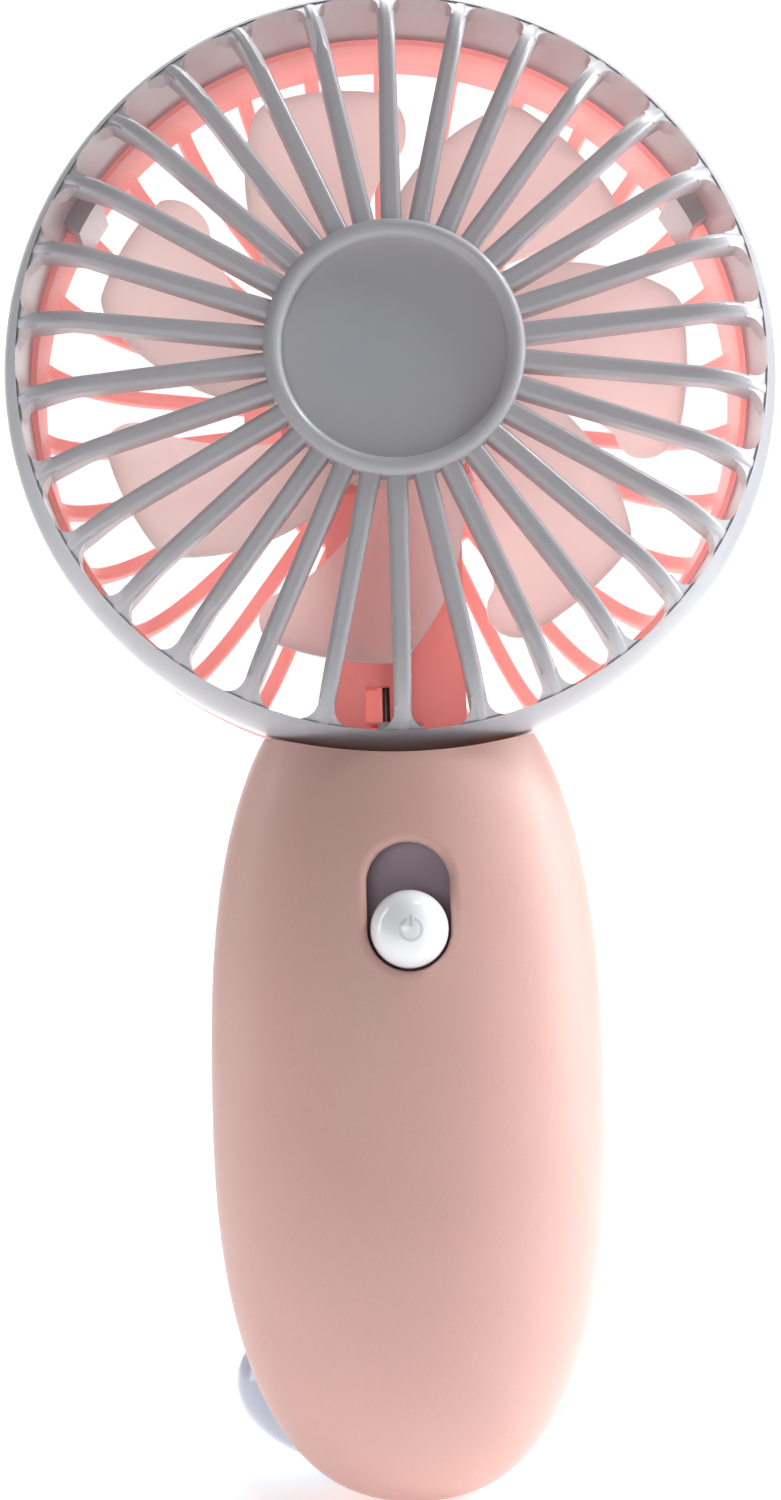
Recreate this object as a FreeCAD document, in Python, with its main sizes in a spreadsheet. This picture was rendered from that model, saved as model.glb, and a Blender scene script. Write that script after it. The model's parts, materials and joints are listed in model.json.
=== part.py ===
import FreeCAD, Part
import Sketcher
import math
import os
import re

# Handheld electric fan, in millimetres. +Z is up, the grille faces -Y, and the origin is the middle of
# the small flat that the egg-shaped handle stands on. The head's axis is parallel to Y.

dimensions = [
    ("headHeight", 130, "head axis above the resting face"),
    ("rimRadius", 45.5, "outside of the front guard's rim"),
    ("rimWall", 2.2, "wall of the rim"),
    ("faceDepth", 15, "guard's flat face in front of the handle axis"),
    ("shoulder", 10, "radius of the round shoulder between face and rim"),
    ("joinDepth", 0.6, "where the two guards meet, in front of the handle axis"),
    ("lugReach", 6.6, "how far the front guard's snap lugs reach into the rear ring"),
    ("lugInner", 41.5, "inside radius of those lugs"),
    ("spokeDepth", 2.4, "thickness of a spoke, front to back"),
    ("spokeRoot", 2.4, "width of a spoke at the hub ring"),
    ("spokeTip", 1.8, "width of a spoke at the rim"),
    ("spokeRound", 0.7, "rounding of a spoke's front edges"),
    ("spokeCount", 30, "spokes of the front guard, and ribs of the rear one"),
    ("windowRound", 2.1, "rounded outer corners of the windows between the spokes"),
    ("webDrop", 0.2, "how far those corners lie behind the spokes' front"),
    ("hubOuter", 14.9, "outside radius of the front guard's centre ring"),
    ("hubInner", 12.8, "inside radius of that ring"),
    ("dishDrop", 1.0, "how far the centre disc lies behind the face"),
    ("rearInner", 42.6, "inside radius of the rear guard's ring"),
    ("rearOuter", 45.2, "outside radius of the rear guard's ring"),
    ("rearBack", 7.3, "back of that ring"),
    ("backPlane", 17.6, "back face of the rear guard"),
    ("ribDepth", 2.2, "thickness of a rear rib"),
    ("ribWidth", 1.8, "width of a rear rib"),
    ("ribBend", 14, "radius of a rear rib's bend"),
    ("plateRadius", 18.5, "solid plate behind the motor"),
    ("cupBore", 12.25, "bore of the motor cup"),
    ("cupWall", 1.6, "wall of the motor cup"),
    ("strutWidth", 16.6, "strut that carries the motor and its leads"),
    ("strutFront", 3, "front of the strut"),
    ("strutBack", 11, "back of the strut"),
    ("neckWidth", 15.2, "plug that the handle shells clamp"),
    ("neckBottom", 58, "bottom of the plug, below the head axis"),
    ("canRadius", 12.2, "motor can"),
    ("canFront", 2.8, "front face of the motor can"),
    ("canBack", 15.2, "back of the motor can"),
    ("canWall", 0.8, "sheet steel of the motor can"),
    ("shaftRadius", 1.0, "motor shaft"),
    ("bladeTip", 35, "radius to the blade tips"),
    ("bladeCount", 7, "blades of the impeller"),
    ("bladeSweep", 37, "angle that one blade covers at its tip, degrees"),
    ("bladeLean", 32, "how far the blade's tip is ahead of its root, degrees"),
    ("bladePhase", 43.5, "middle of the first blade's tip from the top, clockwise from the front, degrees"),
    ("bladeFront", 8.6, "blade's leading edge in front of the handle axis"),
    ("bladeBack", 1.6, "blade's trailing edge behind the handle axis"),
    ("bladeThick", 1.3, "blade thickness, measured along the axis"),
    ("cupRadius", 13, "impeller's centre cup"),
    ("cupFront", 11, "front of the impeller's cup"),
    ("handleWidth", 45.8, "widest part of the handle"),
    ("handleDepth", 34, "handle from front to back at the same height"),
    ("widestHeight", 46.65, "height of the widest part"),
    ("lowerReach", 47, "from the widest part down to the egg's own bottom"),
    ("upperReach", 50, "from the widest part up to the egg's own top"),
    ("fullness", 2.5, "exponent of the handle's outline"),
    ("handleWall", 2, "wall of the handle shells"),
    ("seamFront", 0.1, "front shell's edge, just behind the handle axis"),
    ("seamBack", 0.2, "rear shell's edge"),
    ("headGap", 0.35, "gap between the handle and the head's rim"),
    ("slotWidth", 9.2, "switch slot"),
    ("slotBottom", 59.8, "lower end of the switch slot"),
    ("slotTop", 74, "upper end of the switch slot"),
    ("slotRound", 0.9, "rounding of the slot's outer edge"),
    ("knobRadius", 4.3, "ball knob"),
    ("knobHeight", 64.4, "knob's centre at rest"),
    ("knobDepth", 15.6, "knob's centre in front of the handle axis"),
    ("knobTravel", 4.9, "travel of the slide switch"),
    ("shieldFront", 12, "front of the plate that moves with the knob"),
    ("shieldThick", 0.8, "thickness of that plate"),
    ("shieldWidth", 11.4, "width of that plate"),
    ("boardThick", 1.2, "circuit boards"),
    ("switchBoardFront", 7.8, "front face of the switch board, ahead of the handle axis"),
    ("mainBoardFront", 9.3, "front face of the main board, behind the handle axis"),
    ("mainBoardWidth", 18, "width of the main board"),
    ("mainBoardBottom", 24, "lower edge of the main board"),
    ("mainBoardTop", 68, "upper edge of the main board"),
    ("cellRadius", 7, "lithium cell, 14500 size"),
    ("cellLength", 49, "its length"),
    ("cellBottom", 17, "height of its lower end"),
    ("cellDepth", 0.9, "its axis behind the handle axis"),
    ("socketHeight", 33, "height of the charging socket"),
    ("socketWidth", 8.9, "socket shell, across"),
    ("socketRise", 3.2, "socket shell, up and down"),
    ("socketMouth", 16.2, "mouth of the socket behind the handle axis"),
    ("screwHead", 1.8, "radius of a screw head"),
    ("screwHeadRise", 1.3, "height of a screw head"),
    ("screwShank", 1.0, "radius of a screw's shank"),
    ("leadRadius", 0.5, "insulated lead"),
    ("footWidth", 42.6, "rear foot, across"),
    ("footRise", 21.6, "rear foot, up and down before its flat"),
    ("footReach", 24, "rear foot, front to back before it is hollowed for the handle"),
    ("footDepth", 10, "middle of the foot behind the handle axis"),
    ("footHeight", 10.6, "middle of the foot above the resting face"),
]

document = FreeCAD.newDocument("HandheldFan")
sheet = document.addObject("Spreadsheet::Sheet", "Sizes")
for row, (alias, value, note) in enumerate(dimensions, 1):
    sheet.set(f"A{row}", note)
    sheet.set(f"B{row}", str(value))
    sheet.setAlias(f"B{row}", alias)
document.recompute()
size = {alias: float(sheet.get(alias)) for alias, _, _ in dimensions}
pattern = re.compile(r"\b(" + "|".join(size) + r")\b")
alongY = FreeCAD.Rotation(FreeCAD.Vector(1, 0, 0), -90)
upright = FreeCAD.Rotation()


def linked(formula):
    """A formula in the sheet's aliases, as a FreeCAD expression."""
    return pattern.sub(r"Sizes.\1", str(formula))


def bind(made, **formulas):
    for name, formula in formulas.items():
        made.setExpression(name.replace("_", "."), linked(formula))
    return made


def place(made, spot, turn=upright):
    """Turn an object, and bind its place to three formulas."""
    made.Placement = FreeCAD.Placement(FreeCAD.Vector(), turn)
    x, y, z = spot
    return bind(made, Placement_Base_x=x, Placement_Base_y=y, Placement_Base_z=z)


def primitive(kind, name, spot, turn=upright, **formulas):
    made = document.addObject("Part::" + kind, name)
    return place(bind(made, **formulas), spot, turn)


def rod(name, x, y, z, radius, length, turn=alongY):
    """A cylinder that starts at x, y, z and runs along +Y, or as turned."""
    return primitive("Cylinder", name, (x, y, z), turn, Radius=radius, Height=length)


def block(name, low, high):
    """A box between two corners, each given as three formulas."""
    sides = [f"({b}) - ({a})" for a, b in zip(low, high)]
    return primitive("Box", name, low, Length=sides[0], Width=sides[1], Height=sides[2])


def fuse(name, *shapes):
    made = document.addObject("Part::MultiFuse", name)
    made.Shapes = list(shapes)
    return made


def common(name, *shapes):
    made = document.addObject("Part::MultiCommon", name)
    made.Shapes = list(shapes)
    return made


def cut(name, base, *tools):
    made = document.addObject("Part::Cut", name)
    made.Base = base
    made.Tool = tools[0] if len(tools) == 1 else fuse(name + "Tools", *tools)
    return made


def gather(name, *shapes):
    """Several separate solids of one node."""
    made = document.addObject("Part::Compound", name)
    made.Links = list(shapes)
    return made


def body(name):
    return document.addObject("PartDesign::Body", name)


def plane(host, role):
    return next(f for f in host.Origin.OriginFeatures if f.Role == role)


def sketch(host, role, name):
    made = host.newObject("Sketcher::SketchObject", name)
    made.AttachmentSupport = [(plane(host, role), "")]
    made.MapMode = "FlatFace"
    return made


def number(formula):
    """What a formula in the sheet's aliases comes to."""
    return float(sheet.evalExpression(linked(formula)))


def pin(made, index, position, x, y):
    """Bind one point of a sketch to two formulas, measured from the origin."""
    for kind, formula in (("DistanceX", x), ("DistanceY", y)):
        rule = made.addConstraint(Sketcher.Constraint(kind, -1, 1, index, position, number(formula)))
        made.setExpression(f"Constraints[{rule}]", linked(formula))


def outline(made, *steps):
    """A closed outline: each step is the point where an edge starts, then for an arc a point that it
    passes through, and its radius unless it is a half circle."""
    spots = [FreeCAD.Vector(number(step[0]), number(step[1]), 0) for step in steps]
    ends = []
    for step, start, stop in zip(steps, spots, spots[1:] + spots[:1]):
        if len(step) == 2:
            index = made.addGeometry(Part.LineSegment(start, stop))
            ends.append((index, 1, 2))
            continue
        middle = FreeCAD.Vector(number(step[2]), number(step[3]), 0)
        forward = (middle - start).cross(stop - middle).z > 0
        points = (start, middle, stop) if forward else (stop, middle, start)
        index = made.addGeometry(Part.Arc(*points))
        ends.append((index, 1, 2) if forward else (index, 2, 1))
        if len(step) == 5:
            rule = made.addConstraint(Sketcher.Constraint("Radius", index, number(step[4])))
            made.setExpression(f"Constraints[{rule}]", linked(step[4]))
    for (index, first, last), (after, start, _) in zip(ends, ends[1:] + ends[:1]):
        made.addConstraint(Sketcher.Constraint("Coincident", index, last, after, start))
    for (index, first, _), step in zip(ends, steps):
        pin(made, index, first, step[0], step[1])
    return made


def ring(made, x, y, radius):
    """A circle in a sketch."""
    circle = Part.Circle(FreeCAD.Vector(number(x), number(y), 0), FreeCAD.Vector(0, 0, 1), number(radius))
    index = made.addGeometry(circle)
    pin(made, index, 3, x, y)
    rule = made.addConstraint(Sketcher.Constraint("Radius", index, number(radius)))
    made.setExpression(f"Constraints[{rule}]", linked(radius))
    return made


def feature(host, kind, name, profile, **settings):
    """A PartDesign feature, with its plain settings; formulas go through bind."""
    made = host.newObject("PartDesign::" + kind, name)
    if profile:
        made.Profile = profile
    for key, setting in settings.items():
        setattr(made, key, setting)
    return made


def turned(host, name, *steps, kind="Revolution", axis="H_Axis", role="YZ_Plane", **settings):
    """A turned feature, from its half section: first the place along the axis, then the radius."""
    profile = outline(sketch(host, role, name + "Profile"), *steps)
    return feature(host, kind, name, profile, ReferenceAxis=(profile, [axis]), **settings)


def around(host, name, count, originals=()):
    """Repeat features, or with none named the whole body, around the head's axis."""
    made = host.newObject("PartDesign::PolarPattern", name)
    if originals:
        made.Originals = list(originals)
    else:
        made.TransformMode = "Whole shape"
    made.Axis = (plane(host, "Y_Axis"), [""])
    made.Angle = 360
    made.setExpression("Occurrences", linked(count))
    host.Tip = made
    return made


def atHead(host):
    return place(host, ("0", "0", "headHeight"))


# ------------------------------------------------------------------ front guard

def cornerWebs():
    """The rounded outer corners of the windows: a band under the spokes' shoulder, cut through by one
    window after another. The window is drawn beside a spoke and then turned by half a pitch."""
    host = body("CornerWebs")

    def band(radius, angle):
        return (f"-faceDepth + shoulder - ({radius}) * cos({angle})",
                f"rimRadius - shoulder + ({radius}) * sin({angle})")

    outer, inner = "shoulder - webDrop", "shoulder - webDrop - 1.8"
    turned(host, "WebBand", (*band(outer, 32), *band(outer, 48), outer), band(outer, 64),
           (*band(inner, 64), *band(inner, 48), inner), band(inner, 32))
    edge, end = "spokeTip / 2", "(rimRadius - rimWall)"
    reach = f"sqrt(({end} - windowRound)^2 - ({edge} + windowRound)^2)"
    grow = f"{end} / ({end} - windowRound)"

    def spot(along, aside, sign=""):
        pitch = "180 / spokeCount"
        return (f"{sign}(({along}) * sin({pitch}) - ({aside}) * cos({pitch}))",
                f"({along}) * cos({pitch}) + ({aside}) * sin({pitch})")

    foot, middle = ("38", edge), (f"{reach} + 0.733 * windowRound", f"{edge} + 0.32 * windowRound")
    corner, crown = (reach, edge), (f"{reach} * {grow}", f"({edge} + windowRound) * {grow}")
    window = outline(
        sketch(host, "XZ_Plane", "WindowProfile"),
        spot(*foot), (*spot(*corner), *spot(*middle), "windowRound"), (*spot(*crown), "0", end, end),
        (*spot(*crown, "-"), *spot(*middle, "-"), "windowRound"), spot(*corner, "-"), spot(*foot, "-"))
    opening = bind(feature(host, "Pocket", "Window", window, SideType="Symmetric", Type="Length"),
                   Length="faceDepth * 4")
    document.recompute()
    around(host, "Windows", "spokeCount", [opening])
    return place(host, ("0", "0", "headHeight"), FreeCAD.Rotation(FreeCAD.Vector(0, 1, 0), 180 / size["spokeCount"]))


def frontGuard():
    host = body("SpokesAndRim")
    side = "rimRadius - shoulder"
    half = "shoulder * 0.7071"
    spoke = outline(
        sketch(host, "YZ_Plane", "SpokeSide"),
        ("-faceDepth", "hubOuter - 1.2"),
        ("-faceDepth", side, f"-faceDepth + shoulder - {half}", f"{side} + {half}", "shoulder"),
        ("-faceDepth + shoulder", "rimRadius - 0.1"),
        ("-faceDepth + shoulder", "rimRadius - rimWall + 0.2"),
        ("-faceDepth + spokeDepth + 4.4", "rimRadius - rimWall + 0.2"),
        ("-faceDepth + spokeDepth", f"{side} + 1"),
        ("-faceDepth + spokeDepth", "hubOuter - 1.2"))
    pad = bind(feature(host, "Pad", "Spoke", spoke, SideType="Symmetric"), Length="spokeRoot")
    document.recompute()
    taper = sketch(host, "XZ_Plane", "SpokeTaper")
    for edge in ("", "-"):
        outline(taper, (f"{edge}(spokeRoot / 2)", "hubOuter - 1.2"),
                (f"{edge}(spokeTip / 2)", "rimRadius + 0.5"),
                (f"{edge}(spokeRoot)", "rimRadius + 0.5"), (f"{edge}(spokeRoot)", "hubOuter - 1.2"))
    trim = feature(host, "Pocket", "SpokeTrim", taper, SideType="Symmetric", Type="Length")
    bind(trim, Length="faceDepth * 4")
    document.recompute()
    face = -size["faceDepth"]
    rim = size["rimRadius"] - size["shoulder"]

    def outer(point):
        """Whether a point lies on the spoke's front surface."""
        if point.z <= rim + 0.01:
            return abs(point.y - face) < 0.01
        return abs(math.hypot(point.y - face - size["shoulder"], point.z - rim) - size["shoulder"]) < 0.01

    edges = []
    for index, edge in enumerate(trim.Shape.Edges, 1):
        ends = [vertex.Point for vertex in edge.Vertexes]
        oneSide = all(point.x > 0.3 for point in ends) or all(point.x < -0.3 for point in ends)
        middle = edge.valueAt((edge.FirstParameter + edge.LastParameter) / 2)
        if oneSide and edge.Length > 3 and outer(middle) and all(outer(point) for point in ends):
            edges.append(f"Edge{index}")
    soft = bind(feature(host, "Fillet", "SpokeSoft", None, Base=(trim, edges)), Radius="spokeRound")
    host.Tip = soft
    document.recompute()
    around(host, "Spokes", "spokeCount")
    lip = "sqrt(shoulder^2 - (shoulder - rimWall)^2)"
    turned(host, "Rim",
           (f"-faceDepth + shoulder - {lip}", "rimRadius - rimWall", f"-faceDepth + shoulder - 3.2",
            f"{side} + sqrt(shoulder^2 - 3.2^2)", "shoulder"),
           ("-faceDepth + shoulder", "rimRadius"), ("-joinDepth", "rimRadius"),
           ("-joinDepth", "rimRadius - rimWall"))
    middle = "(hubOuter + hubInner) / 2"
    swell = "(hubOuter - hubInner) / 2"
    turned(host, "HubRing",
           ("-faceDepth + 0.3", "hubInner", f"-faceDepth + 0.3 - {swell}", middle),
           ("-faceDepth + 0.3", "hubOuter"), ("-faceDepth + spokeDepth", "hubOuter"),
           ("-faceDepth + spokeDepth", "hubInner"))
    turned(host, "Dish",
           ("-faceDepth + dishDrop", "0"), ("-faceDepth + dishDrop", "hubInner + 0.5"),
           ("-faceDepth + spokeDepth", "hubInner + 0.5"), ("-faceDepth + spokeDepth", "0"))
    lug = feature(host, "Revolution", "Lug", outline(
        sketch(host, "YZ_Plane", "LugProfile"),
        ("-joinDepth - 3", "-(rimRadius - rimWall + 0.1)"), ("-joinDepth", "-(rimRadius - rimWall + 0.1)"),
        ("-joinDepth", "-(rearInner - 0.15)"), ("lugReach - 0.4", "-(rearInner - 0.15)"),
        ("lugReach", "-lugInner"), ("-joinDepth - 1.5", "-lugInner")),
        Type="Angle", Midplane=True, Angle=7)
    lug.ReferenceAxis = (document.LugProfile, ["H_Axis"])
    document.recompute()
    around(host, "Lugs", "3", [lug])
    notch = sketch(host, "XZ_Plane", "NotchProfile")
    for edge in ("", "-"):
        ring(notch, f"{edge}(rimRadius * 0.5878 + 0.9)", "-rimRadius * 0.809 - 1.2", "2.1")
    cutOut = feature(host, "Pocket", "PryNotches", notch, Reversed=True, Type="Length")
    bind(cutOut, Length="joinDepth + 1.1")
    fuse("front_grille", atHead(host), cornerWebs())


# ------------------------------------------------------------------ rear guard

def rearBasket():
    host = body("RearBasket")
    lean = "ribBend * 0.7071"
    shell = "ribBend - ribDepth"
    turn = "rearOuter - 0.4 - ribBend"
    rib = outline(
        sketch(host, "YZ_Plane", "RibSide"),
        ("backPlane - ribBend", "rearOuter - 0.4", f"backPlane - ribBend + {lean}", f"{turn} + {lean}", "ribBend"),
        ("backPlane", turn), ("backPlane", "cupBore + cupWall / 2"),
        ("backPlane - ribDepth", "cupBore + cupWall / 2"),
        ("backPlane - ribDepth", turn, f"backPlane - ribBend + ({shell}) * 0.7071", f"{turn} + ({shell}) * 0.7071",
         shell),
        ("backPlane - ribBend", "rearOuter - 0.4 - ribDepth"))
    pad = bind(feature(host, "Pad", "Rib", rib, SideType="Symmetric"), Length="ribWidth")
    document.recompute()
    edges = []
    for index, edge in enumerate(pad.Shape.Edges, 1):
        ends = [vertex.Point for vertex in edge.Vertexes]
        if abs(ends[0].x - ends[-1].x) < 0.01 and edge.Length > 5:
            edges.append(f"Edge{index}")
    soft = bind(feature(host, "Fillet", "RibSoft", None, Base=(pad, edges)), Radius="ribWidth / 2 - 0.3")
    host.Tip = soft
    document.recompute()
    around(host, "Ribs", "spokeCount")
    turned(host, "Ring",
           ("-joinDepth", "rearInner"), ("-joinDepth", "rearOuter"),
           ("rearBack - 1.2", "rearOuter", "rearBack - 0.35", "rearOuter - 0.35", "1.2"),
           ("rearBack", "rearOuter - 1.2"), ("rearBack", "rearInner"))
    turned(host, "BackPlate",
           ("canBack", "0"), ("canBack", "plateRadius"), ("backPlane - 0.5", "plateRadius"),
           ("backPlane", "plateRadius - 0.5"), ("backPlane", "0"))
    turned(host, "MotorCup",
           ("canFront + 1.6", "cupBore"), ("canFront + 1.6", "cupBore + cupWall"),
           ("canBack + 0.2", "cupBore + cupWall"), ("canBack + 0.2", "cupBore"))
    atHead(host)
    return host


neckScrews = ("-5.2", "5.2")
neckScrewHeight = "headHeight - neckBottom + 5"


def head(formula):
    """A height measured from the head's axis."""
    return f"headHeight + ({formula})"


def lugPockets():
    """Room for the three snap lugs, in the ribs and in the strut."""
    host = body("LugPockets")
    profile = outline(
        sketch(host, "YZ_Plane", "LugPocketProfile"),
        ("-joinDepth", "-rearInner"), ("lugReach + 0.4", "-rearInner"),
        ("lugReach + 0.4", "-(lugInner - 0.3)"), ("-joinDepth", "-(lugInner - 0.3)"))
    pocket = feature(host, "Revolution", "LugPocket", profile, ReferenceAxis=(profile, ["H_Axis"]),
                     Type="Angle", Midplane=True, Angle=9)
    document.recompute()
    around(host, "LugPocketPattern", "3")
    return atHead(host)


def rearCover():
    half = "strutWidth / 2"
    neck = "neckWidth / 2"
    solid = fuse(
        "BasketWithStrut", rearBasket(),
        block("StrutTop", (f"-{half}", "strutFront", head("-plateRadius - 3")),
              (half, "backPlane", head("-cupBore - 0.5"))),
        block("StrutLeg", (f"-{half}", "strutFront", head("-rimRadius + 0.6")),
              (half, "strutBack", head("-plateRadius - 2"))),
        block("Neck", (f"-{neck}", "-4", head("-neckBottom")), (neck, "8.4", head("-rimRadius - headGap"))),
        block("NeckTop", (f"-{neck}", "-joinDepth + 0.1", head("-rimRadius - 2")), (neck, "8.4", head("-rearInner - 0.8"))))
    channelTop = head("-plateRadius - 2.2")
    cut("rear_cover", solid,
        rod("MotorBore", "0", "canBack - 13", head("0"), "cupBore", "13"),
        rod("TerminalPocket", "0", "canBack - 0.5", head("0"), "cupBore - 1.2", "backPlane - canBack - 0.1"),
        block("LeadSlot", ("-2.4", "canBack - 0.2", head("-15")), ("2.4", "backPlane - 0.6", head("-8"))),
        block("LeadBend", ("-2.4", "strutFront + 1.8", channelTop), ("2.4", "backPlane - 0.6", head("-14.6"))),
        block("LeadChannel", ("-2.4", "strutFront + 1.8", head("-neckBottom - 1")),
              ("2.4", "strutBack - 3.4", head("-plateRadius - 2"))),
        lugPockets(), block("LeadWindow", ("-3.9", "strutFront - 1", head("-40.8")), ("-0.9", "strutFront + 4.4", head("-36.4"))),
        *[rod(f"NeckHole{hole}", x, "-1", neckScrewHeight, "screwShank + 0.02", "12")
          for hole, x in enumerate(neckScrews, 1)])


# ------------------------------------------------------------------ impeller and motor

def bladeForm():
    """One twisted blade that leans forward to its tip: a wide helical sheet, thickened along the axis and
    trimmed to the blade's outline seen from the front."""
    tip, root = size["bladeTip"], size["cupRadius"] - 0.8
    sweep = math.radians(size["bladeSweep"])
    lean = math.radians(size["bladeLean"])
    front, back = -size["bladeFront"], size["bladeBack"] - size["bladeThick"]
    rows = []
    for step in range(5):
        share = step / 4
        radius = root - 1 + (tip + 2 - root) * share
        row = []
        for turn in (-0.62, -0.31, 0, 0.31, 0.62):
            flatten = 1 - 0.18 * share
            depth = (front + back) / 2 + (back - front) * turn * flatten - 0.9 * math.sin(math.pi * (turn + 0.5))
            angle = turn * sweep * (1.25 - 0.25 * share) + lean * (radius - tip) / (tip - root)
            row.append(FreeCAD.Vector(radius * math.sin(angle), depth, radius * math.cos(angle)))
        rows.append(row)
    sheetSurface = Part.BSplineSurface()
    sheetSurface.interpolate(rows)
    thick = sheetSurface.toShape().extrude(FreeCAD.Vector(0, size["bladeThick"], 0))

    def at(radius, turn):
        angle = sweep * turn + lean * (radius - tip) / (tip - root)
        return FreeCAD.Vector(radius * math.sin(angle), -20, radius * math.cos(angle))

    corner = tip - 7
    edges = [
        Part.Arc(at(root, -0.56), at(root, 0), at(root, 0.56)).toShape(),
        Part.Arc(at(root, 0.56), at((root + corner) / 2, 0.555), at(corner, 0.5)).toShape(),
        Part.Arc(at(corner, 0.5), at(tip - 2.1, 0.405), at(tip, 0.22)).toShape(),
        Part.Arc(at(tip, 0.22), at(tip, -0.1), at(tip, -0.44)).toShape(),
        Part.Arc(at(tip, -0.44), at(tip - 0.5, -0.48), at(tip - 1.6, -0.5)).toShape(),
        Part.Arc(at(tip - 1.6, -0.5), at((root + tip) / 2, -0.53), at(root, -0.56)).toShape()]
    plan = Part.Face(Part.Wire(edges)).extrude(FreeCAD.Vector(0, 40, 0))
    blade = thick.common(plan)
    return blade


def impeller():
    cup = body("ImpellerCup")
    wall = "cupRadius - 1.5"
    turned(cup, "Cup",
           ("-cupFront", "shaftRadius"), ("-cupFront", "cupRadius - 2", "-cupFront + 0.586", "cupRadius - 0.586", "2"),
           ("-cupFront + 2", "cupRadius"), ("1", "cupRadius"), ("1", wall), ("-cupFront + 1.6", wall),
           ("-cupFront + 1.6", "3.2"), ("-2", "3.2"), ("-2", "shaftRadius"))
    made = atHead(cup)
    form = bladeForm()
    count = int(size["bladeCount"])
    for turn in range(count):
        blade = document.addObject("Part::Feature", f"Blade{turn}")
        blade.Shape = form
        angle = size["bladePhase"] + 360 * turn / count
        place(blade, ("0", "0", "headHeight"), FreeCAD.Rotation(FreeCAD.Vector(0, 1, 0), angle))
        joined = document.addObject("Part::Fuse", "impeller" if turn == count - 1 else f"CupAndBlades{turn}")
        joined.Base, joined.Tool = made, blade
        made = joined


def spun(name, angle, low, *sides):
    """A box given beside the head's axis, then turned about that axis."""
    x, y, z = low
    cosine, sine = math.cos(math.radians(angle)), math.sin(math.radians(angle))
    spot = (f"({x}) * {cosine:.6f} + ({z}) * {sine:.6f}", y,
            f"headHeight - ({x}) * {sine:.6f} + ({z}) * {cosine:.6f}")
    turn = FreeCAD.Rotation(FreeCAD.Vector(0, 1, 0), angle)
    return primitive("Box", name, spot, turn, Length=sides[0], Width=sides[1], Height=sides[2])


def lathe(name, *steps):
    """A turned piece on the head's axis."""
    host = body(name)
    turned(host, name + "Turn", *steps)
    return atHead(host)


def motor():
    lathe("motor_can", ("1.6", "2.6"), ("1.6", "3.4"), ("canFront", "3.4"), ("canFront", "canRadius - 0.6"),
          ("canFront + 0.6", "canRadius"), ("canBack", "canRadius"), ("canBack", "canRadius - canWall"),
          ("canFront + canWall", "canRadius - canWall"), ("canFront + canWall", "2.6"))
    lathe("motor_end_cap", ("canBack - 2", "2.6"), ("canBack - 2", "canRadius - canWall"),
          ("canBack", "canRadius - canWall"), ("canBack", "2.6"))
    lathe("motor_shaft", ("-cupFront + 1", "0"), ("-cupFront + 1", "shaftRadius"),
          ("canBack - 0.5", "shaftRadius"), ("canBack - 0.5", "0"))
    bushes = [rod(f"Bush{spot}", "0", y, head("0"), "2.6", "1.8") for spot, y in enumerate(("1.6", "canBack - 1.9"))]
    cut("motor_bushes", gather("BushBlanks", *bushes),
        rod("BushBore", "0", "0", head("0"), "shaftRadius + 0.04", "20"))
    ringOuter = rod("MagnetOuter", "0", "canFront + 1.5", head("0"), "canRadius - canWall - 0.02", "7.6")
    ringInner = rod("MagnetInner", "0", "canFront + 1", head("0"), "9.1", "9")
    gaps = block("MagnetGaps", ("-20", "canFront", head("-2.6")), ("20", "canFront + 12", head("2.6")))
    cut("motor_magnets", ringOuter, ringInner, gaps)
    poles, coils, gaps = [], [], []
    for count in range(3):
        angle = 120 * count
        poles.append(spun(f"PoleStem{count}", angle, ("-1.5", "5.4", "1"), "3", "5.6", "6.4"))
        coils.append(spun(f"CoilBlock{count}", angle, ("-2.6", "4.5", "3.6"), "5.2", "6.8", "3.3"))
        gaps.append(spun(f"ShoeGap{count}", angle + 60, ("-1.3", "4", "0"), "2.6", "9", "9"))
    shoes = cut("PoleShoes", rod("ShoeOuter", "0", "5.4", head("0"), "8.6", "5.6"),
                rod("ShoeInner", "0", "5", head("0"), "7.2", "7"), *gaps)
    core = rod("CoreMiddle", "0", "5.4", head("0"), "2.6", "5.6")
    cut("motor_armature", fuse("ArmatureBlank", core, shoes, *poles),
        rod("ArmatureBore", "0", "0", head("0"), "shaftRadius", "20"))
    cut("motor_windings", gather("CoilBlocks", *coils), document.motor_armature)
    lathe("motor_commutator", ("11.7", "shaftRadius"), ("11.7", "2.3"), ("13.1", "2.3"), ("13.1", "shaftRadius"))
    arms = []
    for side, sign in (("Left", "-"), ("Right", "")):
        low, high = ("-5.4", "-2.4") if sign else ("2.4", "5.4")
        arms.append(block(f"Brush{side}", (low, "11.9", head("-0.8")), (high, "12.9", head("0.8"))))
        low, high = ("-5.4", "-4.4") if sign else ("4.4", "5.4")
        arms.append(block(f"BrushFoot{side}", (low, "12.9", head("-0.8")), (high, "canBack - 2", head("0.8"))))
    fuse("motor_brushes", *arms)
    gather("motor_terminals", *[
        block(f"Terminal{side}", (x, "canBack", head("-7.2")), (f"({x}) + 1.2", "canBack + 0.3", head("-4.6")))
        for side, x in (("Left", "-1.9"), ("Right", "0.7"))])


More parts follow.
